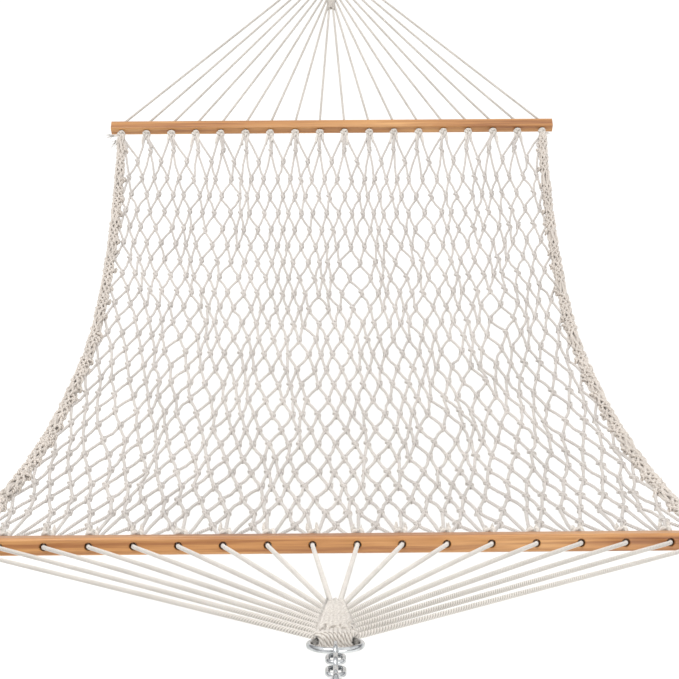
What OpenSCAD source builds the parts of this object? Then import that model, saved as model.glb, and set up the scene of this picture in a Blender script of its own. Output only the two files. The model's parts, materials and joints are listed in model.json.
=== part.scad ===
// Rope hammock with two wooden spreader bars, held up at both ends.
// The origin is the centre of the foot hook's outer bowl. +Y runs towards the head, +Z is up.
// Each end hangs on a straight line: spreader bar, cords, clew, ring, chain and S-hook.

/* [Bed] */
// Distance between the two spreader bars, centre to centre
bed_length = 2000; // [1500:10:2600]
// Number of rope holes in each spreader bar
hole_count = 18; // [10:2:18]
// Distance between neighbouring rope holes
hole_pitch = 70; // [50:1:90]
// How far the middle of the net hangs below the bars
net_sag = 190; // [100:5:300]
// How far the side edges of the net hang below the bars
edge_sag = 165; // [90:5:280]
// How far each side edge is pulled in at the middle of the bed
edge_inset = 50; // [20:1:90]
// Thickness of the knotted net
net_thickness = 8; // [5:0.5:14]
// Diameter of the bunched rope along each side edge
edge_rope_d = 20; // [12:0.5:30]

/* [Spreader bars] */
// Depth of a bar, measured along its rope holes
bar_depth = 30; // [22:0.5:45]
// Height of a bar, measured across its rope holes
bar_height = 28; // [22:0.5:45]
// Distance from the outermost hole to the end of the bar
bar_end = 30; // [20:1:60]
// Radius of the bar's long edges
bar_edge_r = 5; // [2:0.5:8]
// Diameter of a rope hole
hole_d = 12.5; // [11:0.1:16]
// Width of the chamfer at each mouth of a rope hole
hole_chamfer = 1; // [0.5:0.1:2]
// Angle of the rope holes above the horizontal
bar_tilt = 25; // [15:1:35]

/* [Suspension cords] */
// Diameter of a suspension cord
cord_d = 6.5; // [4:0.1:8]
// Diameter of the knot that ties a cord to the net
knot_d = 16; // [12:0.5:22]
// Length of that knot
knot_length = 26; // [16:1:36]
// Angle of the cords and chains above the horizontal
incline = 27.5; // [15:0.5:40]
// Distance from the bar's centre to the narrow end of the clew
fan_length = 492; // [350:1:700]

/* [Clews and rings] */
// Length of the woven clew, from its narrow end to the middle of the ring's wire
clew_length = 208; // [120:1:260]
// Width of the clew at its narrow end
clew_tip_width = 18; // [14:1:30]
// Width of the clew at the ring
clew_ring_width = 46; // [30:1:50]
// Thickness of the clew
clew_thickness = 13; // [8:0.5:18]
// Outside diameter of the ring
ring_outer_d = 62.5; // [55:0.5:80]
// Wire diameter of the ring
ring_wire_d = 6.5; // [5:0.1:8]
// Half of the angle of ring that the rope loops cover
loop_half_angle = 50; // [35:1:60]

/* [Chains and hooks] */
// Wire diameter of a chain link
link_wire_d = 5; // [4:0.1:6]
// Inside length of a chain link
link_inner_length = 27; // [24:0.5:40]
// Inside width of a chain link
link_inner_width = 11; // [10:0.5:16]
// Wire diameter of an S-hook
hook_wire_d = 7; // [5:0.1:8]
// Inside diameter of an S-hook's bowls
hook_inner_d = 20; // [18:0.5:30]

/* [Hidden] */
// Gap where two metal wires hang in each other
contact_gap = 0.4;
// Gap between the ring's wire and the rope loops around it
loop_gap = 0.3;
// Gap between a bar's face and the knots behind it
knot_gap = 1.5;
// Gap between the net and what it is tied to
net_gap = 0.5;
// Shape of the sag and of the pulled-in edges along the bed
sag_power = 2.2;
inset_power = 1.4;
LINKS = 6;
NET_ROWS = 30;
NET_COLUMNS = 12;
EDGE_RINGS = 36;
CORD_SIDES = 8;
EDGE_SIDES = 10;
$fn = 48;

cord_r = cord_d / 2;
knot_r = knot_d / 2;
ring_wire_r = ring_wire_d / 2;
ring_r = ring_outer_d / 2 - ring_wire_r;
link_wire_r = link_wire_d / 2;
hook_wire_r = hook_wire_d / 2;
hook_r = hook_inner_d / 2 + hook_wire_r;
hole_span = (hole_count - 1) * hole_pitch;
bar_length = hole_span + 2 * bar_end;
mouth = bar_depth / 2;
knot_start = mouth + knot_gap;
knot_end = knot_start + knot_length;

// Distances from the bar's centre along the line to the hook
clew_start = fan_length;
clew_end = fan_length + clew_length;
ring_y = clew_end + ring_r;
first_link_y = ring_y + ring_r - ring_wire_r - contact_gap;
link_step = link_inner_length - contact_gap;
last_link_end_y = first_link_y + (LINKS - 1) * link_step + link_inner_length;
hook_low_y = last_link_end_y - contact_gap - hook_wire_r + hook_r;
line_length = hook_low_y + 2 * hook_r;

foot_bar_y = line_length * cos(incline);
head_bar_y = foot_bar_y + bed_length;
bar_z = -line_length * sin(incline);

function hole_x(i) = (i - (hole_count + 1) / 2) * hole_pitch;
function unit(v) = v / norm(v);

// Bed surface, with y measured from the foot bar and s from -1 at the left edge to 1 at the right
function bed_q(y) = abs(2 * y / bed_length - 1);
function bed_drop(y) = 1 - pow(bed_q(y), sag_power);
function half_width(y) = hole_span / 2 - edge_inset * (1 - pow(bed_q(y), inset_power));
function sag_at(s) = edge_sag + (net_sag - edge_sag) * (1 - s * s);
function bed_z(s, y) = bar_z - sag_at(s) * bed_drop(y);

// Places its children, drawn along +Y from the bar's centre, on the foot's or the head's line
module foot_line() {
    translate([0, foot_bar_y, bar_z])
        mirror([0, 1, 0])
            rotate([incline, 0, 0])
                children();
}

module head_line() {
    translate([0, head_bar_y, bar_z])
        rotate([incline, 0, 0])
            children();
}

// A tube through the points of path, with one radius for each point
function ring_points(centre, along, r, sides) =
    let (across = unit(cross(along, [0, 0, 1])), up = cross(across, along))
    [for (k = [0:sides - 1]) centre + r * (cos(360 * k / sides) * across + sin(360 * k / sides) * up)];

function path_direction(path, i) =
    unit(path[min(i + 1, len(path) - 1)] - path[max(i - 1, 0)]);

module swept_tube(path, radii, sides) {
    rings = len(path);
    points = [for (i = [0:rings - 1])
        each ring_points(path[i], path_direction(path, i), radii[i], sides)];
    walls = [for (i = [0:rings - 2], k = [0:sides - 1])
        let (a = i * sides + k, b = i * sides + (k + 1) % sides)
        each [[a, a + sides, b], [b, a + sides, b + sides]]];
    first_cap = [for (k = [0:sides - 1]) k];
    last_cap = [for (k = [sides - 1:-1:0]) (rings - 1) * sides + k];
    polyhedron(points = points, faces = concat(walls, [first_cap, last_cap]));
}

// Spreader bar: a rounded rectangular bar with one chamfered hole for each cord
module bar_section() {
    square([bar_depth - 2 * bar_edge_r, bar_height], center = true);
    square([bar_depth, bar_height - 2 * bar_edge_r], center = true);
    for (sx = [-1, 1], sy = [-1, 1])
        translate([sx * (bar_depth / 2 - bar_edge_r), sy * (bar_height / 2 - bar_edge_r)])
            circle(r = bar_edge_r);
}

module rope_hole() {
    rotate([90, 0, 0])
        cylinder(d = hole_d, h = bar_depth + 2, center = true);
    for (side = [-1, 1])
        translate([0, side * (mouth - hole_chamfer), 0])
            rotate([-90 * side, 0, 0])
                cylinder(h = 2 * hole_chamfer, d1 = hole_d, d2 = hole_d + 4 * hole_chamfer);
}

module spreader_bar() {
    color("peru")
        rotate([bar_tilt - incline, 0, 0])
            difference() {
                rotate([90, 0, 90])
                    linear_extrude(height = bar_length, center = true)
                        bar_section();
                for (i = [1:hole_count])
                    translate([hole_x(i), 0, 0])
                        rope_hole();
            }
}

// Suspension cord: knot behind the bar, straight through the hole, then straight to the clew
function cord_rank(i) = floor(abs(i - (hole_count + 1) / 2)) / (hole_count / 2 - 1);
function cord_side(i) = hole_x(i) < 0 ? -1 : 1;
function clew_half_width(t) = (clew_tip_width + (clew_ring_width - clew_tip_width) * t) / 2 - cord_r;
function cord_target(i) =
    let (t = cord_rank(i))
    [cord_side(i) * clew_half_width(t), clew_start + (clew_length - 12) * t + cord_r, 0];
function hole_axis() = [0, cos(bar_tilt - incline), sin(bar_tilt - incline)];
function on_hole_axis(i, t) = [hole_x(i), 0, 0] + t * hole_axis();
function bend(a, b, c, t) = (1 - t) * (1 - t) * a + 2 * t * (1 - t) * b + t * t * c;

module suspension_cord(i) {
    corner = on_hole_axis(i, mouth + 1);
    target = cord_target(i);
    leaving = corner + 8 * unit(target - corner);
    knot_rounding = min(4, knot_length / 4);
    straight = [-knot_end, -knot_end + knot_rounding, -knot_start - knot_rounding, -knot_start, mouth - 3];
    bent = [for (t = [0.33, 0.67, 1]) bend(on_hole_axis(i, mouth - 3), corner, leaving, t)];
    path = concat([for (t = straight) on_hole_axis(i, t)], bent, [target]);
    radii = [cord_r, knot_r, knot_r, cord_r, cord_r, cord_r, cord_r, cord_r, cord_r];
    color("antiquewhite")
        swept_tube(path, radii, CORD_SIDES);
}

// Clew: the woven wedge of cords, and the rope loops that hold the ring
module clew_outline() {
    polygon([
        [-clew_tip_width / 2, clew_start],
        [clew_tip_width / 2, clew_start],
        [clew_ring_width / 2, clew_end],
        [-clew_ring_width / 2, clew_end]
    ]);
}

module ring_tube(r) {
    rotate_extrude()
        translate([ring_r, 0])
            circle(r = r);
}

module loop_collar() {
    rotate([0, 0, -90 - loop_half_angle])
        rotate_extrude(angle = 2 * loop_half_angle)
            translate([ring_r, 0])
                circle(r = ring_wire_r + loop_gap + cord_d);
}

module clew() {
    color("antiquewhite")
        difference() {
            union() {
                linear_extrude(height = clew_thickness, center = true)
                    clew_outline();
                translate([0, ring_y, 0])
                    loop_collar();
            }
            translate([0, ring_y, 0])
                ring_tube(ring_wire_r + loop_gap);
        }
}

module hanging_ring() {
    color("silver")
        translate([0, ring_y, 0])
            ring_tube(ring_wire_r);
}

// Chain link number i, counted from the ring. Odd links stand upright and even links lie flat
module link_shape() {
    bow_r = link_inner_width / 2 + link_wire_r;
    straight = link_inner_length - link_inner_width;
    for (side = [-1, 1]) {
        translate([side * bow_r, 0, 0])
            rotate([90, 0, 0])
                cylinder(r = link_wire_r, h = straight, center = true);
        translate([0, side * straight / 2, 0])
            rotate([0, 0, side > 0 ? 0 : 180])
                rotate_extrude(angle = 180)
                    translate([bow_r, 0])
                        circle(r = link_wire_r);
    }
}

module chain_link(i) {
    color("silver")
        translate([0, first_link_y + (i - 1) * link_step + link_inner_length / 2, 0])
            rotate([0, i % 2 == 1 ? 90 : 0, 0])
                link_shape();
}

// S-hook: two bowls of wire in one upright plane, the lower one in the last link
module hook_bowl() {
    rotate_extrude(angle = 270)
        translate([hook_r, 0])
            circle(r = hook_wire_r);
}

module s_hook() {
    color("silver")
        translate([0, hook_low_y, 0])
            rotate([0, 90, 0]) {
                rotate([0, 0, 90])
                    hook_bowl();
                translate([0, 2 * hook_r, 0])
                    rotate([0, 0, -90])
                        hook_bowl();
            }
}

// Net: one thin sheet that sags between the bars and between its side edges
function net_y(row) = knot_end + net_gap + (bed_length - 2 * (knot_end + net_gap)) * row / NET_ROWS;
function net_half_width(y) = half_width(y) - edge_rope_d / 2 - net_gap;
function net_point(row, column, side) =
    let (y = net_y(row), s = 2 * column / NET_COLUMNS - 1)
    [s * net_half_width(y), foot_bar_y + y, bed_z(s, y) + side * net_thickness / 2];

module rope_net() {
    columns = NET_COLUMNS + 1;
    layer = columns * (NET_ROWS + 1);
    points = [for (side = [-1, 1], row = [0:NET_ROWS], column = [0:NET_COLUMNS])
        net_point(row, column, side)];
    cells = [for (row = [0:NET_ROWS - 1], column = [0:NET_COLUMNS - 1])
        let (a = row * columns + column, b = a + 1, c = a + columns, d = c + 1)
        each [[a, b, c], [b, d, c], [a + layer, c + layer, b + layer], [b + layer, c + layer, d + layer]]];
    left = [for (row = [0:NET_ROWS]) row * columns];
    right = [for (row = [NET_ROWS:-1:0]) row * columns + NET_COLUMNS];
    foot = [for (column = [NET_COLUMNS:-1:0]) column];
    head = [for (column = [0:NET_COLUMNS]) NET_ROWS * columns + column];
    rims = [for (rim = [left, right, foot, head], k = [0:len(rim) - 2])
        let (a = rim[k], b = rim[k + 1])
        each [[a, b, b + layer], [a, b + layer, a + layer]]];
    color("antiquewhite")
        polyhedron(points = points, faces = concat(cells, rims));
}

// Edge rope: the bunched cords along one side of the net
module edge_rope(side) {
    first = knot_end + net_gap;
    path = [for (i = [0:EDGE_RINGS])
        let (y = first + (bed_length - 2 * first) * i / EDGE_RINGS)
        [side * half_width(y), foot_bar_y + y, bed_z(side, y)]];
    color("antiquewhite")
        swept_tube(path, [for (i = [0:EDGE_RINGS]) edge_rope_d / 2], EDGE_SIDES);
}

foot_line() spreader_bar();  // foot_spreader_bar
head_line() spreader_bar();  // head_spreader_bar
foot_line() clew();  // foot_clew
head_line() clew();  // head_clew
foot_line() hanging_ring();  // foot_ring
head_line() hanging_ring();  // head_ring
foot_line() s_hook();  // foot_hook
head_line() s_hook();  // head_hook
rope_net();
edge_rope(-1);  // left_edge_rope
edge_rope(1);  // right_edge_rope
for (i = [1:LINKS]) {
    foot_line() chain_link(i);
    head_line() chain_link(i);
}
for (i = [1:hole_count]) {
    foot_line() suspension_cord(i);
    head_line() suspension_cord(i);
}
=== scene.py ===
"""Rope hammock: twisted cords, knotted net, woven clews, oiled wooden bars and zinc-plated metal."""

import json
import math

import bpy
import numpy as np
from mathutils import Matrix, Vector


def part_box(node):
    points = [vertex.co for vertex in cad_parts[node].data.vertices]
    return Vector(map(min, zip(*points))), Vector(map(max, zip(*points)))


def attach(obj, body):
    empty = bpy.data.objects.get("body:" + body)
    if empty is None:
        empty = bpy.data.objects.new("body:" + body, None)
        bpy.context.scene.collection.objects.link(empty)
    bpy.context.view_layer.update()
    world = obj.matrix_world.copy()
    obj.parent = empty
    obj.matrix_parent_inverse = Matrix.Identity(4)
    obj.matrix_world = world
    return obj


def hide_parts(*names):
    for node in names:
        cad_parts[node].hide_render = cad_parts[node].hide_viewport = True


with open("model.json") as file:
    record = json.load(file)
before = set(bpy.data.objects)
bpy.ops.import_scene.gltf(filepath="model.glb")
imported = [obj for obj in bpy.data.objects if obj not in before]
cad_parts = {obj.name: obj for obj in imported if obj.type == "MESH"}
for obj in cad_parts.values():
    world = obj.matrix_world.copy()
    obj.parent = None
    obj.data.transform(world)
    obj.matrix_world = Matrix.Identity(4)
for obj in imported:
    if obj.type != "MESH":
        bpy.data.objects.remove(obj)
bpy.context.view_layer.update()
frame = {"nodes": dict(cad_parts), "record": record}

# All sizes are in metres. Spreader bars and their rope holes:
HOLES = 18
BAR_END = 0.030  # from a bar's end to its first hole
BAR_MOUTH = 0.015  # from the bar's centre to a hole's mouth
BAR_TILT = math.radians(25)  # how far the holes rise towards the hook

# Rope: the radius of a cord and the length of one turn of its strands
CORD_R, CORD_LAY = 0.0036, 0.0155
NET_ROPE_R, NET_LAY = 0.0035, 0.0165
EDGE_ROPE_R, EDGE_LAY = 0.0033, 0.015

# The knots behind the bars: where each starts and ends, from the bar's centre
KNOT_NEAR, KNOT_FAR = 0.0165, 0.0425
KNOT_ROOT = KNOT_FAR - 0.006  # where the net and the edges leave the knots

# The fan of cords, the clew and the ring, along the line from a bar to its hook
FAN_LENGTH = 0.492
CLEW_LENGTH = 0.208
CLEW_TIP_WIDTH, CLEW_RING_WIDTH = 0.018, 0.046
RING_R, RING_WIRE_R = 0.028, 0.00325

# The bed between the bars: how deep it hangs, and how far its sides draw in
NET_SAG, EDGE_SAG = 0.190, 0.165
EDGE_INSET = 0.050
SAG_POWER, INSET_POWER = 2.2, 1.4

FULL_TURN = 2 * math.pi
SEATS = {m["name"]: np.array(m["pos_m"]) for m in frame["record"]["mounts"]}
SIDE = np.array([1.0, 0.0, 0.0])
UP = np.array([0.0, 0.0, 1.0])
rng = np.random.default_rng(11)


def box_centre(node):
    low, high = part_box(node)
    return (np.array(low) + np.array(high)) / 2


def unit(v):
    return v / np.linalg.norm(v, axis=-1, keepdims=True)


BAR = {end: box_centre(f"{end}_spreader_bar") for end in ("foot", "head")}
BED_LENGTH = BAR["head"][1] - BAR["foot"][1]
BAR_Z = BAR["foot"][2]
bar_low, bar_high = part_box("foot_spreader_bar")
HOLE_SPAN = bar_high[0] - bar_low[0] - 2 * BAR_END
HOLE_PITCH = HOLE_SPAN / (HOLES - 1)
HOLE_X = (np.arange(HOLES) - (HOLES - 1) / 2) * HOLE_PITCH


class Line:
    """The straight line from one spreader bar's centre to its hook, with its own axes."""

    def __init__(self, end):
        self.end = end
        self.origin = BAR[end]
        self.out = unit(SEATS[f"{end}_hook_seat"] - self.origin)
        normal = np.cross(SIDE, self.out)
        self.normal = normal * np.sign(normal[2])
        level = np.array([0.0, math.copysign(1.0, self.out[1]), 0.0])
        self.hole = level * math.cos(BAR_TILT) + UP * math.sin(BAR_TILT)

    def place(self, points):
        """Turns (across, out, normal) points into points of the model."""
        points = np.atleast_2d(points)
        axes = np.array([SIDE, self.out, self.normal])
        return self.origin + points @ axes

    def on_hole(self, x, distance):
        """A point on a rope hole's axis, counted from the bar's centre towards the hook."""
        return self.origin + x * SIDE + distance * self.hole


LINES = {end: Line(end) for end in ("foot", "head")}


# ---------------------------------------------------------------- mesh building
class Shape:
    """Collects vertices, quads and triangles, and makes one mesh object of them."""

    def __init__(self):
        self.verts, self.quads, self.tris, self.grooves, self.count = [], [], [], [], 0

    def add(self, verts, quads, tris, grooves):
        self.verts.append(verts)
        self.grooves.append(grooves)
        self.quads.append(np.asarray(quads, dtype=np.int64).reshape(-1, 4) + self.count)
        self.tris.append(np.asarray(tris, dtype=np.int64).reshape(-1, 3) + self.count)
        self.count += len(verts)

    def add_copies(self, template, axes, places):
        """Adds a copy of template for each place, turned to that copy's own axes."""
        verts, quads, tris, grooves = template
        for turn, place in zip(axes, places):
            self.add(verts @ turn + place, quads, tris, grooves)

    def to_object(self, name, material):
        verts = np.concatenate(self.verts)
        quads = np.concatenate(self.quads)
        tris = np.concatenate(self.tris)
        mesh = bpy.data.meshes.new(name)
        mesh.vertices.add(len(verts))
        mesh.vertices.foreach_set("co", verts.astype(np.float32).ravel())
        mesh.loops.add(quads.size + tris.size)
        corners = np.concatenate([quads.ravel(), tris.ravel()]).astype(np.int32)
        mesh.loops.foreach_set("vertex_index", corners)
        starts = np.concatenate([np.arange(len(quads)) * 4, quads.size + np.arange(len(tris)) * 3])
        mesh.polygons.add(len(starts))
        mesh.polygons.foreach_set("loop_start", starts.astype(np.int32))
        mesh.polygons.foreach_set("use_smooth", np.ones(len(starts), dtype=bool))
        mesh.update(calc_edges=True)
        # Each vertex's weight of painted shade: deepest in the grooves between the strands.
        groove = mesh.attributes.new("groove", "FLOAT", "POINT")
        groove.data.foreach_set("value", np.concatenate(self.grooves).astype(np.float32))
        mesh.materials.append(material)
        piece = bpy.data.objects.new(name, mesh)
        bpy.context.collection.objects.link(piece)
        return piece


def resample(points, step):
    """Even points along a polyline, and how far along it each one is."""
    points = np.asarray(points, dtype=float)
    gaps = np.linalg.norm(np.diff(points, axis=0), axis=1)
    along = np.concatenate([[0.0], np.cumsum(gaps)])
    count = max(3, int(math.ceil(along[-1] / step)) + 1)
    at = np.linspace(0.0, along[-1], count)
    return np.stack([np.interp(at, along, points[:, k]) for k in range(3)], axis=1), at


def lobes(sides, depth):
    """The outline of three twisted strands: full radius on a strand, less in the grooves."""
    angles = FULL_TURN * np.arange(sides) / sides
    strand_roundness = 0.7
    return angles, 1 - depth * (1 - np.abs(np.cos(1.5 * angles)) ** strand_roundness)


def random_phase():
    """Any angle of one turn."""
    return rng.uniform(0, 6.28)


def tube_faces(rings, sides, closed):
    """Quads between neighbouring rings of a tube, and a fan over each end of an open one."""
    ring, side = np.meshgrid(np.arange(rings if closed else rings - 1), np.arange(sides), indexing="ij")
    following, beside = (ring + 1) % rings, (side + 1) % sides
    here, there = ring * sides, following * sides
    corners = [here + side, here + beside, there + beside, there + side]
    quads = np.stack(corners, axis=-1).reshape(-1, 4)
    if closed:
        return quads, np.zeros((0, 3), dtype=np.int64)
    around = np.arange(sides)
    nxt = (around + 1) % sides
    first, last = rings * sides, rings * sides + 1
    end = (rings - 1) * sides
    start_fan = np.stack([np.full(sides, first), nxt, around], axis=1)
    end_fan = np.stack([np.full(sides, last), end + around, end + nxt], axis=1)
    return quads, np.concatenate([start_fan, end_fan])


def rope(points, radius, lay, sides=12, step=None, depth=0.3, phase=0.0, closed=False, reference=UP):
    """A rope of three twisted strands along points. radius is one number, or one for each point."""
    rings_a_turn = 8
    step = step or lay / rings_a_turn
    if np.ndim(radius):
        gaps = np.linalg.norm(np.diff(np.asarray(points), axis=0), axis=1)
        along = np.concatenate([[0.0], np.cumsum(gaps)])
        path, at = resample(points, step)
        radii = np.interp(at, along, radius)
    else:
        path, at = resample(points, step)
        radii = np.full(len(path), radius)
    length = at[-1]
    if closed:
        turns = max(1, round(length / lay))
        path, at, radii = path[:-1], at[:-1], radii[:-1]
        tangent = unit(np.roll(path, -1, axis=0) - np.roll(path, 1, axis=0))
        twist = FULL_TURN * turns * at / length + phase
    else:
        tangent = unit(np.gradient(path, axis=0))
        twist = FULL_TURN * at / lay + phase
    across = unit(np.cross(tangent, reference))
    upward = np.cross(across, tangent)
    angles, outline = lobes(sides, depth)
    turned = angles[None, :] + twist[:, None]
    reach = radii[:, None] * outline[None, :]
    outward = (np.cos(turned)[..., None] * across[:, None, :]
               + np.sin(turned)[..., None] * upward[:, None, :])
    verts = (path[:, None, :] + reach[..., None] * outward).reshape(-1, 3)
    quads, tris = tube_faces(len(path), sides, closed)
    # Painted shade weight: none on the strands' crowns, full deep in the grooves, half on the domed tips.
    grooves = np.tile((outline.max() - outline) / max(depth, 0.01), len(path))
    if not closed:
        dome = 0.4
        first_tip = path[0] - dome * radii[0] * tangent[0]
        last_tip = path[-1] + dome * radii[-1] * tangent[-1]
        verts = np.concatenate([verts, [first_tip, last_tip]])
        grooves = np.concatenate([grooves, [0.5, 0.5]])
    return verts, quads, tris, grooves


def knot_template(width, length, height, rope_r, points, sides):
    """An overhand knot as a closed loop of rope: a trefoil stretched along the second axis."""
    t = np.linspace(0.0, FULL_TURN, points + 1)
    x = (np.sin(t) + 2 * np.sin(2 * t)) / 3
    y = (np.cos(t) - 2 * np.cos(2 * t)) / 3
    z = -np.sin(3 * t)
    half_size = np.array([width, length, height]) / 2 - rope_r
    curve = np.stack([x, y, z], axis=1) * half_size
    step = 3.2 * length / points
    return rope(curve, rope_r, lay=5 * rope_r, sides=sides, step=step, depth=0.2, closed=True)


def random_turns(count, amount, along, above):
    """Axes for copies of a template: its second axis on along, turned a little about above."""
    along = unit(along)
    across = unit(np.cross(along, above))
    raised = np.cross(across, along)
    angle = rng.uniform(-amount, amount, count)[:, None]
    flip = rng.choice([-1.0, 1.0], (count, 1))
    turned_across = np.cos(angle) * across + np.sin(angle) * along
    turned_along = np.cos(angle) * along - np.sin(angle) * across
    return np.stack([turned_across * flip, turned_along, raised * flip], axis=1)


FIBRE_R = (0.00035, 0.0006)
FIBRE_SCATTER = 0.0011
FIBRE_DROOP = 0.12  # as a share of a fibre's length


def fibre_tuft(shape, root, direction, count, length, spread):
    """A frayed rope end: thin fibres that leave root and open like a small brush."""
    direction = unit(np.asarray(direction, dtype=float))
    reference = unit(direction + np.array([0.3, 0.5, 0.9]))
    for _ in range(count):
        lean = rng.normal(0.0, spread, 3)
        reach = length * rng.uniform(0.7, 1.1)
        start = root + rng.normal(0.0, FIBRE_SCATTER, 3)
        middle = start + (0.5 * direction + 0.35 * lean) * reach
        end = start + (direction + lean - FIBRE_DROOP * UP) * reach
        thickness = rng.uniform(*FIBRE_R)
        radii = [thickness, thickness, thickness * 0.5]
        shape.add(*rope([start, middle, end], radii, lay=0.01, sides=5, step=reach / 4, depth=0.05,
                        reference=reference))


# ---------------------------------------------------------------- the bed's surface
def bed_fraction(y):
    return np.abs(2 * (y - BAR["foot"][1]) / BED_LENGTH - 1)


def half_width(y):
    return HOLE_SPAN / 2 - EDGE_INSET * (1 - bed_fraction(y) ** INSET_POWER)


def bed_z(x, y):
    s = np.clip(x / half_width(y), -1.0, 1.0)
    drop = 1 - np.clip(bed_fraction(y), 0.0, 1.0) ** SAG_POWER
    return BAR_Z - (EDGE_SAG + (NET_SAG - EDGE_SAG) * (1 - s * s)) * drop


def on_bed(x, y):
    return np.stack([x, y, bed_z(x, y)], axis=-1)


# ---------------------------------------------------------------- materials
def new_material(name, roughness, **sockets):
    material = bpy.data.materials.new(name)
    material.use_nodes = True
    shader = material.node_tree.nodes["Principled BSDF"]
    shader.inputs["Roughness"].default_value = roughness
    for socket, value in sockets.items():
        shader.inputs[socket.replace("_", " ")].default_value = value
    return material, material.node_tree, shader


def add_noise(tree, scale, detail=3.0, stretch=(1, 1, 1), roughness=0.5, distortion=0.0):
    """A noise texture in the object's own coordinates, stretched along the axes."""
    place = tree.nodes.new("ShaderNodeTexCoord")
    mapping = tree.nodes.new("ShaderNodeMapping")
    mapping.inputs["Scale"].default_value = stretch
    noise = tree.nodes.new("ShaderNodeTexNoise")
    noise.inputs["Scale"].default_value = scale
    noise.inputs["Detail"].default_value = detail
    noise.inputs["Roughness"].default_value = roughness
    noise.inputs["Distortion"].default_value = distortion
    tree.links.new(place.outputs["Object"], mapping.inputs["Vector"])
    tree.links.new(mapping.outputs["Vector"], noise.inputs["Vector"])
    return noise.outputs["Fac"]


def add_ramp(tree, value, stops):
    ramp = tree.nodes.new("ShaderNodeValToRGB")
    elements = ramp.color_ramp.elements
    while len(elements) < len(stops):
        elements.new(0.5)
    for element, (position, colour) in zip(elements, stops):
        element.position = position
        element.color = (*colour, 1.0)
    tree.links.new(value, ramp.inputs["Fac"])
    return ramp.outputs["Color"]


def add_mix(tree, first, second, factor, blend="MIX"):
    mix = tree.nodes.new("ShaderNodeMix")
    mix.data_type = "RGBA"
    mix.blend_type = blend
    for socket, value in (("Factor_Float", factor), ("A_Color", first), ("B_Color", second)):
        target = next(s for s in mix.inputs if s.identifier == socket)
        if isinstance(value, (int, float)):
            target.default_value = value
        elif isinstance(value, tuple):
            target.default_value = (*value, 1.0)
        else:
            tree.links.new(value, target)
    return next(s for s in mix.outputs if s.identifier == "Result_Color")


def add_bump(tree, shader, height, strength, distance):
    bump = tree.nodes.new("ShaderNodeBump")
    bump.inputs["Strength"].default_value = strength
    bump.inputs["Distance"].default_value = distance
    tree.links.new(height, bump.inputs["Height"])
    tree.links.new(bump.outputs["Normal"], shader.inputs["Normal"])


WHITE = (1.0, 1.0, 1.0)


def rope_material(name, light, dark, groove_shade_colour):
    """Soft undyed rope: light and darker stretches, fine fibres, and painted shade in the grooves between
    the strands.
    """
    material, tree, shader = new_material(name, 0.92, Sheen_Weight=0.25, Sheen_Roughness=0.5,
                                          Specular_IOR_Level=0.2)
    patches = add_ramp(tree, add_noise(tree, 9.0, 4.0), [(0.35, dark), (0.62, light)])
    fibres = add_ramp(tree, add_noise(tree, 900.0, 2.0), [(0.3, (0.84, 0.83, 0.82)), (0.65, WHITE)])
    # Painted shade in the grooves between the strands, from each vertex's weight.
    groove = tree.nodes.new("ShaderNodeAttribute")
    groove.attribute_name = "groove"
    shaded = add_ramp(tree, groove.outputs["Fac"], [(0.12, WHITE), (0.95, groove_shade_colour)])
    colour = add_mix(tree, patches, fibres, 1.0, "MULTIPLY")
    tree.links.new(add_mix(tree, colour, shaded, 1.0, "MULTIPLY"), shader.inputs["Base Color"])
    add_bump(tree, shader, add_noise(tree, 1500.0, 3.0), 0.5, 0.0006)
    return material


def wood_material(name):
    """Oiled hardwood: long grain along X, darker streaks and fine pores."""
    brown, tan, honey = (0.32, 0.122, 0.032), (0.48, 0.222, 0.068), (0.62, 0.335, 0.126)
    streak = (0.55, 0.42, 0.34)
    material, tree, shader = new_material(name, 0.42, Coat_Weight=0.25, Coat_Roughness=0.3)
    grain_noise = add_noise(tree, 30.0, 5.0, (0.06, 1.0, 1.0), 0.6, 0.6)
    grain = add_ramp(tree, grain_noise, [(0.30, brown), (0.5, tan), (0.70, honey)])
    streak_noise = add_noise(tree, 150.0, 4.0, (0.018, 1.0, 1.0), 0.7)
    streaks = add_ramp(tree, streak_noise, [(0.36, streak), (0.54, WHITE)])
    pores = add_noise(tree, 900.0, 2.0, (0.05, 1.0, 1.0))
    colour = add_mix(tree, grain, streaks, 0.85, "MULTIPLY")
    tree.links.new(colour, shader.inputs["Base Color"])
    dull = add_ramp(tree, pores, [(0.3, (0.55,) * 3), (0.7, (0.36,) * 3)])
    tree.links.new(dull, shader.inputs["Roughness"])
    add_bump(tree, shader, pores, 0.25, 0.0003)
    return material


def metal_material(name, colour, roughness):
    """Bright zinc plating: a cool metal with small rougher clouds, painted darker as dark reflections,
    and a faint orange-peel surface.
    """
    material, tree, shader = new_material(name, roughness, Metallic=1.0)
    clouds = add_noise(tree, 120.0, 4.0)
    # Painted dark reflections: where the clouds are low, the metal's colour is darker.
    dark_reflection_colour = tuple(0.60 * c for c in colour)
    painted_reflection_colour = add_ramp(tree, clouds, [(0.35, dark_reflection_colour), (0.6, colour)])
    tree.links.new(painted_reflection_colour, shader.inputs["Base Color"])
    low, high = roughness * 0.75, roughness * 1.6
    dull = add_ramp(tree, clouds, [(0.3, (high,) * 3), (0.7, (low,) * 3)])
    tree.links.new(dull, shader.inputs["Roughness"])
    add_bump(tree, shader, add_noise(tree, 420.0, 2.0), 0.25, 0.0005)
    return material


# Each rope's last colour is the painted shade of its grooves.
CORD_ROPE = rope_material("cord_rope", (0.815, 0.772, 0.718), (0.73, 0.688, 0.637), (0.44, 0.41, 0.38))
NET_ROPE = rope_material("net_rope", (0.80, 0.757, 0.717), (0.70, 0.662, 0.627), (0.52, 0.49, 0.47))
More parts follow.
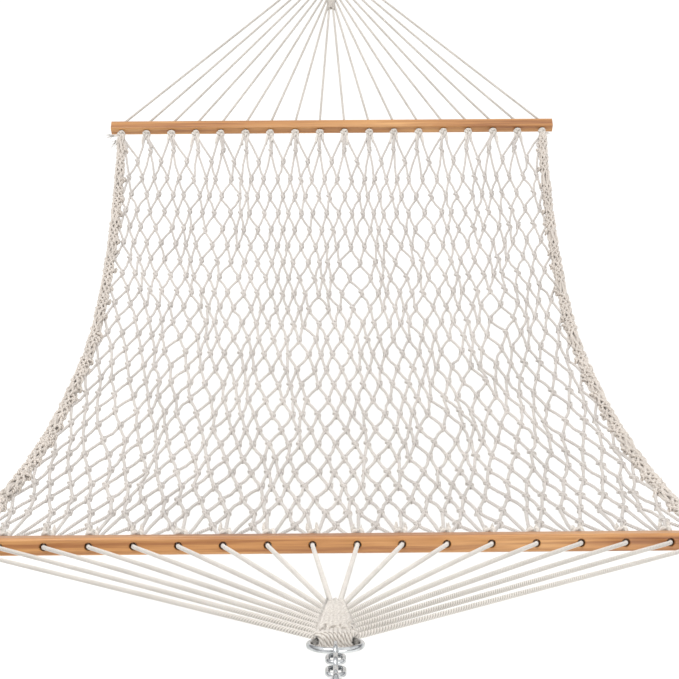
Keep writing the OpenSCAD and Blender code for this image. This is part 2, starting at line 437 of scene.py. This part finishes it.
# The edge rope is painted lighter than the net rope, to lift the shade inside its plait.
EDGE_ROPE = rope_material("edge_rope", (0.87, 0.812, 0.752), (0.78, 0.727, 0.67), (0.50, 0.455, 0.415))
BAR_WOOD = wood_material("bar_wood")
RING_STEEL = metal_material("ring_steel", (0.60, 0.615, 0.625), 0.11)
CHAIN_STEEL = metal_material("chain_steel", (0.56, 0.575, 0.585), 0.12)
HOOK_STEEL = metal_material("hook_steel", (0.56, 0.575, 0.585), 0.15)


# ---------------------------------------------------------------- suspension cords
def cord_rank(i):
    """0 for the two middle cords, 1 for the two outermost."""
    return math.floor(abs(i - (HOLES - 1) / 2)) / (HOLES / 2 - 1)


def clew_half_width(t):
    return (CLEW_TIP_WIDTH + (CLEW_RING_WIDTH - CLEW_TIP_WIDTH) * t) / 2


def bend_points(start, corner, end, shares):
    """Points on the smooth bend from start to end that a corner pulls towards itself."""
    return [(1 - u) ** 2 * start + 2 * u * (1 - u) * corner + u * u * end for u in shares]


# How far from their corners a cord's bends start or end, and how far it goes on inside the clew
HOLE_BEND, CLEW_BEND = 0.009, 0.018
INSIDE_CLEW = 0.035
LAST_ENTRY = 0.012  # from the clew's ring end to where the outermost cords enter


def cord_path(line, i):
    """From the knot behind the bar, through its hole, straight to the clew and on into its weave."""
    t = cord_rank(i)
    side = -1 if HOLE_X[i] < 0 else 1
    edge = clew_half_width(t) - CORD_R
    entry = line.place([side * edge, FAN_LENGTH + (CLEW_LENGTH - LAST_ENTRY) * t + CORD_R, 0.0])[0]
    inside_e = min(FAN_LENGTH + CLEW_LENGTH * t + INSIDE_CLEW, FAN_LENGTH + CLEW_LENGTH - 0.002)
    inside = line.place([side * edge * 0.8, inside_e, 0.0])[0]
    knot = line.on_hole(HOLE_X[i], -KNOT_FAR + 0.008)
    before = line.on_hole(HOLE_X[i], BAR_MOUTH - 0.004)
    mouth = line.on_hole(HOLE_X[i], BAR_MOUTH + 0.001)
    run = unit(entry - mouth)
    after = mouth + HOLE_BEND * run
    short_of = entry - CLEW_BEND * run
    bend = bend_points(before, mouth, after, (0.25, 0.5, 0.75))
    turn = bend_points(short_of, entry, inside, (0.2, 0.4, 0.6, 0.8))
    return [knot, before, *bend, after, short_of, *turn, inside]


CORD_KNOT = knot_template(0.0250, 0.031, 0.021, 0.0037, 64, 9)
KNOT_RISE = {"foot": 0.009, "head": 0.0}  # how far a knot sits above its hole's axis

# A turn of rope round the cord, against the bar's inner side, and the two tails of each knot
WRAP_R, WRAP_ROPE_R, WRAP_LAY = 0.0064, 0.0035, 0.013
WRAP_PLACE = -BAR_MOUTH - 0.0055
TAIL_LEAN = {"foot": (-0.25, 0.95), "head": (-0.98, -0.04)}
TAIL_LENGTH = {"foot": (0.003, 0.015), "head": (0.028, 0.044)}
TAIL_OPEN = {"foot": 0.22, "head": 0.16}
TAIL_RADII = [0.0034, 0.0036, 0.0028]


def add_wrap(shape, line, x, above):
    around = np.linspace(0.0, FULL_TURN, 25)[:, None]
    circle = WRAP_R * (np.cos(around) * SIDE + np.sin(around) * above)
    wrap = line.on_hole(x, WRAP_PLACE) + circle
    shape.add(*rope(wrap, WRAP_ROPE_R, WRAP_LAY, sides=9, closed=True, reference=line.hole))


def add_tails(shape, line, knot, above):
    """The two frayed ends of a cord's knot: short and upright at the foot, long and lying at the head."""
    back, up = TAIL_LEAN[line.end]
    for side in (-1.0, 1.0):
        rise = up + rng.uniform(-0.15, 0.15)
        apart = side * rng.uniform(0.0, TAIL_OPEN[line.end])
        lean = unit(back * line.hole + rise * above + apart * SIDE)
        root = knot + 0.0050 * side * SIDE + 0.002 * above
        tip = root + lean * rng.uniform(*TAIL_LENGTH[line.end])
        bend = (root + tip) / 2 + 0.002 * side * SIDE
        shape.add(*rope([root, bend, tip], TAIL_RADII, lay=0.012, sides=9, depth=0.35))
        fibre_tuft(shape, tip - lean * 0.003, lean, 10, 0.007, 0.12)


def make_cord(line, i):
    shape = Shape()
    shape.add(*rope(cord_path(line, i), CORD_R, CORD_LAY, phase=random_phase()))
    above = np.cross(SIDE, line.hole)
    above = above * np.sign(above[2])
    knot = line.on_hole(HOLE_X[i], -(KNOT_NEAR + KNOT_FAR) / 2) + above * KNOT_RISE[line.end]
    turns = random_turns(1, 0.25, line.hole[None, :], above[None, :])
    shape.add_copies(CORD_KNOT, turns, [knot])
    add_wrap(shape, line, HOLE_X[i], above)
    add_tails(shape, line, knot, above)
    piece = shape.to_object(f"{line.end}_cord_rope_{i + 1}", CORD_ROPE)
    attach(piece, "bed")
    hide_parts(f"{line.end}_cord_{i + 1}")


# ---------------------------------------------------------------- clews
# The loops round the ring, and the cords that are braided across them
LOOPS = 9
LOOP_SPREAD = math.radians(44)
LOOP_ROPE_R = 0.0029
LOOP_HEIGHT = 0.0034  # from the clew's middle plane to the loops' middle
LOOP_OFF_WIRE = 0.0033  # from the ring's wire to the loops' middle
BRAID_ROPE_R, BRAID_LAY = 0.0028, 0.013
BRAID_PITCH = 0.0085
BRAID_LEAN = 0.016  # how far a crossing cord's ends lie from its middle, along the clew
BRAID_WEAVE = 0.0021  # how far a cord rises over and dips under the others
BRAID_INSET = 0.0012
BRAID_START, BRAID_END = {"foot": 0.13, "head": 0.045}, 0.86  # as shares of the clew's length
CLEW_THIN, CLEW_THICK = 0.0036, 0.0056  # from its middle plane to its braid, at the tip and further on
CLEW_STEP = 0.0018
CLEW_PAINTED_SHADE = 0.20  # how much painted shade the whole clew gets beyond a single cord's


def loop_path(line, k):
    """One cord of the clew: down the wedge on top, round the ring's wire and back up below."""
    u = (k - (LOOPS - 1) / 2) / ((LOOPS - 1) / 2)
    angle = u * LOOP_SPREAD
    centre_e = FAN_LENGTH + CLEW_LENGTH + RING_R
    wire = np.array([RING_R * math.sin(angle), centre_e - RING_R * math.cos(angle), 0.0])
    outward = np.array([math.sin(angle), -math.cos(angle), 0.0])
    normal = np.array([0.0, 0.0, 1.0])
    reach = RING_WIRE_R + LOOP_OFF_WIRE
    start_t = abs(u) * 0.85
    top = []
    for t in np.linspace(start_t, 0.93, 9):
        x = u * (clew_half_width(t) - 0.003)
        top.append(np.array([x, FAN_LENGTH + CLEW_LENGTH * t, LOOP_HEIGHT]))
    bottom = [p * np.array([1.0, 1.0, -1.0]) for p in reversed(top)]
    turn = [wire + reach * (math.cos(a) * outward + math.sin(a) * normal)
            for a in np.radians(np.arange(60, 301, 20))]
    return line.place(np.array(top + turn + bottom))


def braid_path(line, t, turn):
    """A cord that crosses the wedge at a slant, over and under the cords that slant the other way."""
    wide = clew_half_width(t) - BRAID_INSET
    thick = CLEW_THIN + (CLEW_THICK - CLEW_THIN) * min(1.0, 2 * t)
    across = np.linspace(-1.0, 1.0, 41)
    over = thick + BRAID_WEAVE * turn * np.cos(across * FULL_TURN * BRAID_LEAN / BRAID_PITCH)
    e = FAN_LENGTH + CLEW_LENGTH * t + turn * BRAID_LEAN * across
    top = np.stack([across * wide, e, over], axis=1)
    low = np.stack([across[::-1] * wide, e[::-1] + 0.002, -over[::-1]], axis=1)
    return line.place(np.concatenate([top, low, top[:1]]))


def make_clew(line):
    shape = Shape()
    for k in range(LOOPS):
        shape.add(*rope(loop_path(line, k), LOOP_ROPE_R, CORD_LAY, step=CLEW_STEP, reference=SIDE,
                        phase=random_phase()))
    for t in np.arange(BRAID_START[line.end], BRAID_END, BRAID_PITCH / CLEW_LENGTH):
        for turn in (1, -1):
            shape.add(*rope(braid_path(line, t, turn), BRAID_ROPE_R, BRAID_LAY, sides=9, step=CLEW_STEP,
                            closed=True, reference=line.out, phase=random_phase()))
    # Painted shade over the whole clew, even on the crowns of its cords.
    shape.grooves = [CLEW_PAINTED_SHADE + (1 - CLEW_PAINTED_SHADE) * g for g in shape.grooves]
    piece = shape.to_object(f"{line.end}_woven_clew", CORD_ROPE)
    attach(piece, "bed")
    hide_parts(f"{line.end}_clew")


# ---------------------------------------------------------------- net
# Odd rows have a knot below each hole and one between, even rows lie half a mesh aside
NET_ROWS = 25
MESHES = 2 * (HOLES - 1)
FOOT_ROW_GAP = 0.108  # from the foot bar to the first row
HEAD_ROW_GAP = 0.142  # from the last row to the head bar
HEAD_KNOT_NEARER = 0.046  # how much nearer to the head bar the knots below its holes are
NET_SECTIONS = 6

# How uneven the net is: two smooth random fields move its knots aside and along before they settle
COLUMN_SHIFT = 0.34  # in meshes
LARGEST_SHIFT = 1.7  # times COLUMN_SHIFT
SHIFT_PITCH = 1.04  # steps of the first field for each mesh
SHIFT_ROWS = 2.6  # rows for each of its steps
ROW_DRIFT = 0.008
DRIFT_MESHES, DRIFT_ROWS = 3.2, 2.2  # meshes and rows for each step of the second field
STRAND_SPREAD = 0.012  # how much the strands' lengths differ, as a share
EDGE_GAP = 0.013  # from the middle of an edge to the net's outermost knots
KNOT_SPACE = 0.020  # the least distance between two knots of a row
NET_PULL = 0.35


def smooth_field(columns, rows):
    """A smooth random field, sampled at any column and row."""
    values = rng.normal(0.0, 1.0, (columns, rows))

    def sample(a, b):
        a, b = np.clip(a, 0, columns - 1.001), np.clip(b, 0, rows - 1.001)
        i, j = a.astype(int), b.astype(int)
        u, v = a - i, b - j
        u, v = u * u * (3 - 2 * u), v * v * (3 - 2 * v)
        near = values[i, j] * (1 - u) + values[i + 1, j] * u
        far = values[i, j + 1] * (1 - u) + values[i + 1, j + 1] * u
        return near * (1 - v) + far * v
    return sample


column_shift = smooth_field(38, 12)
row_drift = smooth_field(12, 14)


def net_row(row):
    """The knots of one row before they settle: their columns, counted in meshes, and flat places."""
    columns = np.arange(MESHES + 1) if row % 2 else np.arange(MESHES) + 0.5
    ends = min(row - 1, NET_ROWS - row) / 3
    inward = np.clip(np.minimum(columns, MESHES - columns), 0.0, 1.0)
    shift = column_shift(columns * SHIFT_PITCH, np.full(len(columns), row / SHIFT_ROWS))
    shift = np.clip(shift, -LARGEST_SHIFT, LARGEST_SHIFT)
    place = (columns + COLUMN_SHIFT * min(1.0, 0.2 + ends) * inward * shift) / MESHES
    step = (BED_LENGTH - FOOT_ROW_GAP - HEAD_ROW_GAP) / (NET_ROWS - 1)
    y = BAR["foot"][1] + FOOT_ROW_GAP + step * (row - 1) + np.zeros(len(columns))
    drift = row_drift(columns / DRIFT_MESHES, np.full(len(columns), row / DRIFT_ROWS))
    y += ROW_DRIFT * min(1.0, ends) * drift
    below_hole = columns % 2 == 0
    if row == NET_ROWS:
        y = np.where(below_hole, y + HEAD_KNOT_NEARER, y)
    x = (2 * place - 1) * (half_width(y) - EDGE_GAP)
    if row == 1:
        x = np.where(below_hole, np.interp(columns, [0, MESHES], [HOLE_X[0], HOLE_X[-1]]), x)
        y = np.where(below_hole, BAR["foot"][1] + KNOT_ROOT, y)
    return columns, np.stack([x, y], axis=1)


def settled_net(rounds=30):
    """Lets the knots slide on the bed for some rounds, which evens out the lengths of the strands."""
    rows = {row: net_row(row) for row in range(1, NET_ROWS + 1)}
    index, flat, row_of, column_of = {}, [], [], []
    for row, (columns, places) in rows.items():
        for column, place in zip(columns, places):
            index[row, float(column)] = len(flat)
            flat.append(place)
            row_of.append(row)
            column_of.append(column)
    flat, row_of, column_of = np.array(flat), np.array(row_of), np.array(column_of)
    strands = [(n, index[row + 1, column + half]) for (row, column), n in index.items()
               for half in (-0.5, 0.5) if (row + 1, column + half) in index]
    beside = [(n, index[row, column + 1]) for (row, column), n in index.items()
              if (row, column + 1) in index]
    a, b = np.array(strands).T
    left, right = np.array(beside).T
    rest = np.linalg.norm(flat[b] - flat[a], axis=1)
    inner = (row_of[a] > 1) & (row_of[b] < NET_ROWS)
    rest = np.where(inner, rest[inner].mean() * rng.normal(1.0, STRAND_SPREAD, len(a)), rest)
    held_y = (row_of == 1) | (row_of == NET_ROWS)
    held_x = (row_of == 1) & (column_of % 2 == 0)
    start = flat.copy()
    side = np.where(column_of == 0, -1.0, np.where(column_of == MESHES, 1.0, 0.0))
    side = np.where(row_of == 1, 0.0, side)
    for _ in range(rounds):
        gap = flat[b] - flat[a]
        length = np.linalg.norm(gap, axis=1)
        pull = (0.5 * (1 - rest / length))[:, None] * gap
        move = np.zeros_like(flat)
        np.add.at(move, a, pull)
        np.add.at(move, b, -pull)
        flat += NET_PULL * move
        short = np.clip(KNOT_SPACE - (flat[right, 0] - flat[left, 0]), 0.0, None) / 2
        np.add.at(flat[:, 0], right, short)
        np.add.at(flat[:, 0], left, -short)
        wide = half_width(flat[:, 1]) - EDGE_GAP
        flat[:, 0] = np.where(side != 0, side * wide, np.clip(flat[:, 0], -wide + 0.01, wide - 0.01))
        flat[held_y, 1] = start[held_y, 1]
        flat[held_x, 0] = start[held_x, 0]
    return {row: (rows[row][0], on_bed(flat[row_of == row, 0], flat[row_of == row, 1])) for row in rows}


KNOTS = settled_net()
NET_KNOT = knot_template(0.0162, 0.038, 0.0140, 0.0034, 24, 6)
INTO_KNOT = 0.004
KNOT_SIDE = 0.0024
STRAND_SLACK = 0.0012

# How far a strand leaves its knot along the bed: less at the foot, where the meshes are pulled wide
FOOT_KNOT_REACH, HEAD_KNOT_REACH = 0.0105, 0.0165


def knot_reach(place):
    share = (place[1] - BAR["foot"][1]) / BED_LENGTH
    return FOOT_KNOT_REACH + (HEAD_KNOT_REACH - FOOT_KNOT_REACH) * share


def beside_knot(knot, ahead, aside):
    """A point ahead of and aside from a knot, at the same height over the bed as the knot."""
    point = knot + np.array([aside, ahead, 0.0])
    point[2] += bed_z(point[0], point[1]) - bed_z(knot[0], knot[1])
    return point


def strand(shape, start, end, start_side, end_side, from_bar=False):
    """One length of net rope between two knots, leaving each one along the bed."""
    start_reach = 0.0 if from_bar else knot_reach(start)
    end_reach = knot_reach(end)
    level = math.copysign(1.0, end[1] - start[1])
    leave = beside_knot(start, level * start_reach, KNOT_SIDE * start_side)
    arrive = beside_knot(end, -level * end_reach, KNOT_SIDE * end_side)
    first = start if from_bar else start + (leave - start) * INTO_KNOT / start_reach
    last = end + (arrive - end) * INTO_KNOT / end_reach
    middle = (leave + arrive) / 2 + rng.normal(0.0, STRAND_SLACK, 3)
    path = [first, leave, middle, arrive, last]
    shape.add(*rope(path, NET_ROPE_R, NET_LAY, sides=6, step=NET_LAY / 5, phase=random_phase()))


def add_row_knots(shape, row):
    columns, places = KNOTS[row]
    tied = (columns > 0) & (columns < MESHES)
    if row == 1:
        tied &= columns % 2 == 1
    places = places[tied]
    x, y = places[:, 0], places[:, 1]
    ahead = on_bed(x, y + 0.01) - on_bed(x, y)
    above = np.tile(UP, (len(places), 1))
    shape.add_copies(NET_KNOT, random_turns(len(places), 0.3, ahead, above), places)


def add_row_strands(shape, row):
    """The two strands from each knot of a row to the row after it."""
    columns, places = KNOTS[row]
    next_columns, next_places = KNOTS[row + 1]
    index = {c: n for n, c in enumerate(next_columns)}
    for column, place in zip(columns, places):
        at_bar = row == 1 and column % 2 == 0
        if at_bar:
            place = LINES["foot"].on_hole(place[0], -KNOT_ROOT)
        for side in (-1, 1):
            n = index.get(column + side / 2)
            if n is not None:
                strand(shape, place, next_places[n], side, -side, from_bar=at_bar)


# From each hole's knot: how many half meshes along its four strands end, and the side each leaves on
BAR_STRANDS = ((-1, -1.6), (0, -0.9), (0, 0.9), (1, 1.6))
BAR_STRAND_SIDE = 0.0022


def add_bar_strands(shape, line, row):
    """Strands from each hole's knot: one to the knot on each side, and at the head two straight on."""
    columns, places = KNOTS[row]
    for i in range(HOLES):
        root = line.on_hole(HOLE_X[i], -KNOT_ROOT)
        for step, side in BAR_STRANDS:
            column = 2 * i + step
            if 0 <= column <= MESHES and (step or row > 1):
                start = root + SIDE * BAR_STRAND_SIDE * side
                arrive_side = -step if step else math.copysign(1, side)
                strand(shape, start, places[column], 0, arrive_side, from_bar=True)


def make_net():
    rows = np.array_split(np.arange(1, NET_ROWS + 1), NET_SECTIONS)
    for n, section in enumerate(rows, 1):
        shape = Shape()
        if section[0] == 1:
            add_bar_strands(shape, LINES["foot"], 1)
        for row in section:
            add_row_knots(shape, int(row))
            if row < NET_ROWS:
                add_row_strands(shape, int(row))
            else:
                add_bar_strands(shape, LINES["head"], NET_ROWS)
        piece = shape.to_object(f"net_section_{n}", NET_ROPE)
        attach(piece, "bed")
        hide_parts("rope_net")


# ---------------------------------------------------------------- edge ropes
# Each edge is a loose plait: as many cords wind one way as the other, over and under each other
EDGE_WAYS = 5  # cords each way
EDGE_BUNCH_R = 0.0092
EDGE_WEAVE = 0.0019  # how far a cord rises over and dips under the others
EDGE_LOOSE = 0.0012
EDGE_FLAT = 0.80  # the plait's thickness as a share of its width
EDGE_TURN = 0.175  # the length in which a cord goes round once
EDGE_CORE = 3  # straighter cords inside
EDGE_CORE_R = 0.0034
EDGE_TAPER = 0.05  # the length of the narrower stretch at each end
EDGE_KNOT = knot_template(0.0155, 0.030, 0.0145, 0.0029, 27, 6)
EDGE_HAIRS = 120

# The hitches at each row: how many, how far along from the row's end, and how far in
HITCHES = 2
HITCH_ALONG = 0.034
HITCH_INWARD = (0.005, 0.014)
HITCH_OFF_BAR = 0.008


def along_bed(x, z):
    """Steps aside and up from points on the bed."""
    return np.stack([x, np.zeros(len(x)), z], axis=1)


def make_edge(side, name):
    """A plait of cords from bar to bar round a straighter core, with small hitches at each row."""
    shape = Shape()
    start_y, end_y = BAR["foot"][1] + KNOT_ROOT, BAR["head"][1] - KNOT_ROOT
    y = np.linspace(start_y, end_y, 840)
    centre = on_bed(side * half_width(y), y)
    ends = np.clip(np.minimum(y - start_y, end_y - y) / EDGE_TAPER, 0.0, 1.0)
    bunch = EDGE_BUNCH_R * (0.6 + 0.4 * ends)
    wander = np.linspace(0.0, 24.0, len(y))
    uneven = 0.5 * np.sin(wander * rng.uniform(1.0, 2.0)) + 0.35 * np.sin(wander * rng.uniform(3.0, 4.0))
    wound = FULL_TURN * (y - start_y) / EDGE_TURN + uneven
    for k in range(2 * EDGE_WAYS):
        way = 1 if k % 2 else -1
        turn = math.pi * k / EDGE_WAYS + way * wound
        loose = EDGE_LOOSE * np.sin(wander * rng.uniform(3.0, 6.0) + random_phase())
        reach = bunch + way * EDGE_WEAVE * np.sin(EDGE_WAYS * turn) + loose
        offset = along_bed(reach * np.cos(turn), EDGE_FLAT * reach * np.sin(turn))
        shape.add(*rope(centre + offset, EDGE_ROPE_R, EDGE_LAY, sides=6, step=EDGE_LAY / 5,
                        phase=random_phase()))
    for k in range(EDGE_CORE):
        turn = FULL_TURN * (k / EDGE_CORE + (y - start_y) / (4 * EDGE_TURN))
        offset = EDGE_CORE_R * along_bed(np.cos(turn), np.sin(turn))
        shape.add(*rope(centre + offset, EDGE_ROPE_R, EDGE_LAY, sides=6, step=EDGE_LAY / 4))
    add_edge_hitches(shape, side, start_y, end_y)
    for at in rng.integers(10, len(y) - 10, EDGE_HAIRS):
        away = np.array([rng.normal(0.5 * side, 0.7), rng.normal(0.0, 0.6), rng.normal(0.1, 0.7)])
        fibre_tuft(shape, centre[at] + unit(away) * bunch[at], away, 2, 0.010, 0.3)
    piece = shape.to_object(name, EDGE_ROPE)
    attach(piece, "bed")
    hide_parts(f"{'left' if side < 0 else 'right'}_edge_rope")


def add_edge_hitches(shape, side, start_y, end_y):
    """Small knots on the plait's inner side, near the end of each row of the net."""
    for row in range(1, NET_ROWS + 1):
        places = KNOTS[row][1]
        place = places[0] if side < 0 else places[-1]
        ahead = np.tile([0.0, 1.0, 0.0], (HITCHES, 1))
        turns = random_turns(HITCHES, 0.5, ahead, np.tile(UP, (HITCHES, 1)))
        y = place[1] + rng.uniform(-HITCH_ALONG, HITCH_ALONG, HITCHES)
        y = np.clip(y, start_y + HITCH_OFF_BAR, end_y - HITCH_OFF_BAR)
        inward = np.linspace(*HITCH_INWARD, HITCHES)
        at = on_bed(side * (half_width(y) - inward), y) + UP * rng.uniform(0.0, 0.006)
        shape.add_copies(EDGE_KNOT, turns, at)


# The end, side and length of each pair of frayed edge cords
TASSELS = (("head", -1, 0.034), ("head", 1, 0.016), ("foot", -1, 0.020), ("foot", 1, 0.020))


def make_tassels():
    """Frayed ends of the edge cords, beside the corner knots."""
    shape = Shape()
    for end, side, reach in TASSELS:
        line = LINES[end]
        x = HOLE_X[0] if side < 0 else HOLE_X[-1]
        root = line.on_hole(x, -KNOT_FAR + 0.012)
        aside = np.array([side, -0.25 * line.hole[1], 0.05])
        down = np.array([0.6 * side, -0.7 * line.hole[1], -0.5])
        for lean in (unit(aside), unit(down)):
            tip = root + lean * reach * 0.6
            shape.add(*rope([root, (root + tip) / 2, tip], 0.0026, 0.014, sides=9))
            fibre_tuft(shape, tip - lean * 0.002, lean, 16, reach * 0.75, 0.22)
    piece = shape.to_object("corner_tassels", EDGE_ROPE)
    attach(piece, "bed")


# ---------------------------------------------------------------- CAD nodes that stay, and the set
def finish_cad_nodes():
    """Gives the bars, rings, chain links and hooks, which stay as the CAD made them, their materials."""
    finishes = (("spreader_bar", BAR_WOOD), ("ring", RING_STEEL),
                ("chain_link", CHAIN_STEEL), ("hook", HOOK_STEEL))
    for node, piece in frame["nodes"].items():
        for word, material in finishes:
            if f"_{word}" in node:
                for slot in piece.material_slots:
                    slot.material = material


SENSOR_WIDTH = 36.0
CAMERA_PLACE = (0.0004, -0.9572, 0.8610)
CAMERA_DOWN, CAMERA_RIGHT, CAMERA_ROLL = 27.545, 0.27, 0.30  # degrees
FOCAL_SHARE = 2.0583  # the focal length as a share of the sensor's width

FLOOR_Z = -1.15
FLOOR_SIZE = 40.0
FLOOR_COLOUR = (0.93, 0.93, 0.92, 1.0)

# Height above the horizon and colour of the studio's light
SKY = ((0.0, (0.80, 0.80, 0.81)), (0.10, (0.26, 0.26, 0.27)), (0.22, (0.26, 0.26, 0.27)),
       (0.36, WHITE), (0.8, WHITE))
SKY_STRENGTH = 1.18

# Each light's name, place, target, size and watts
LIGHTS = (("key", (-1.0, 0.9, 3.6), (0.0, 1.7, -0.4), 3.0, 80),
          ("fill", (1.4, -2.6, 0.9), (0.0, 1.4, -0.5), 2.4, 30))


def make_camera():
    data = bpy.data.cameras.new("camera")
    data.sensor_width = SENSOR_WIDTH
    data.lens = SENSOR_WIDTH * FOCAL_SHARE
    camera = bpy.data.objects.new("camera", data)
    turn = (Matrix.Rotation(math.radians(-CAMERA_RIGHT), 4, "Z")
            @ Matrix.Rotation(math.radians(90 - CAMERA_DOWN), 4, "X")
            @ Matrix.Rotation(math.radians(-CAMERA_ROLL), 4, "Z"))
    camera.matrix_world = Matrix.Translation(CAMERA_PLACE) @ turn
    bpy.context.collection.objects.link(camera)
    bpy.context.scene.camera = camera


def make_floor():
    bpy.ops.mesh.primitive_plane_add(size=FLOOR_SIZE, location=(0, 2, FLOOR_Z))
    floor = bpy.context.object
    floor.name = "floor"
    material, _, shader = new_material("floor", 0.9)
    shader.inputs["Base Color"].default_value = FLOOR_COLOUR
    floor.data.materials.append(material)


def make_light(name, place, target, size, watts):
    data = bpy.data.lights.new(name, "AREA")
    data.shape = "DISK"
    data.size = size
    data.energy = watts
    light = bpy.data.objects.new(name, data)
    light.location = place
    light.rotation_euler = (Vector(target) - Vector(place)).to_track_quat("-Z", "Y").to_euler()
    light.visible_camera = False
    bpy.context.collection.objects.link(light)


def make_world():
    """A pale studio with a grey band above the horizon, which gives the metal something to show."""
    world = bpy.data.worlds.new("studio")
    world.use_nodes = True
    tree = world.node_tree
    place = tree.nodes.new("ShaderNodeTexCoord")
    split = tree.nodes.new("ShaderNodeSeparateXYZ")
    tree.links.new(place.outputs["Generated"], split.inputs["Vector"])
    sky = add_ramp(tree, split.outputs["Z"], SKY)
    background = tree.nodes["Background"]
    tree.links.new(sky, background.inputs["Color"])
    background.inputs["Strength"].default_value = SKY_STRENGTH
    bpy.context.scene.world = world


make_camera()
for hammock_line in LINES.values():
    for number in range(HOLES):
        make_cord(hammock_line, number)
    make_clew(hammock_line)
make_net()
make_edge(-1, "left_edge_cords")
make_edge(1, "right_edge_cords")
make_tassels()
finish_cad_nodes()
make_floor()
make_world()
for light_values in LIGHTS:
    make_light(*light_values)
bpy.context.scene.view_settings.view_transform = "Standard"
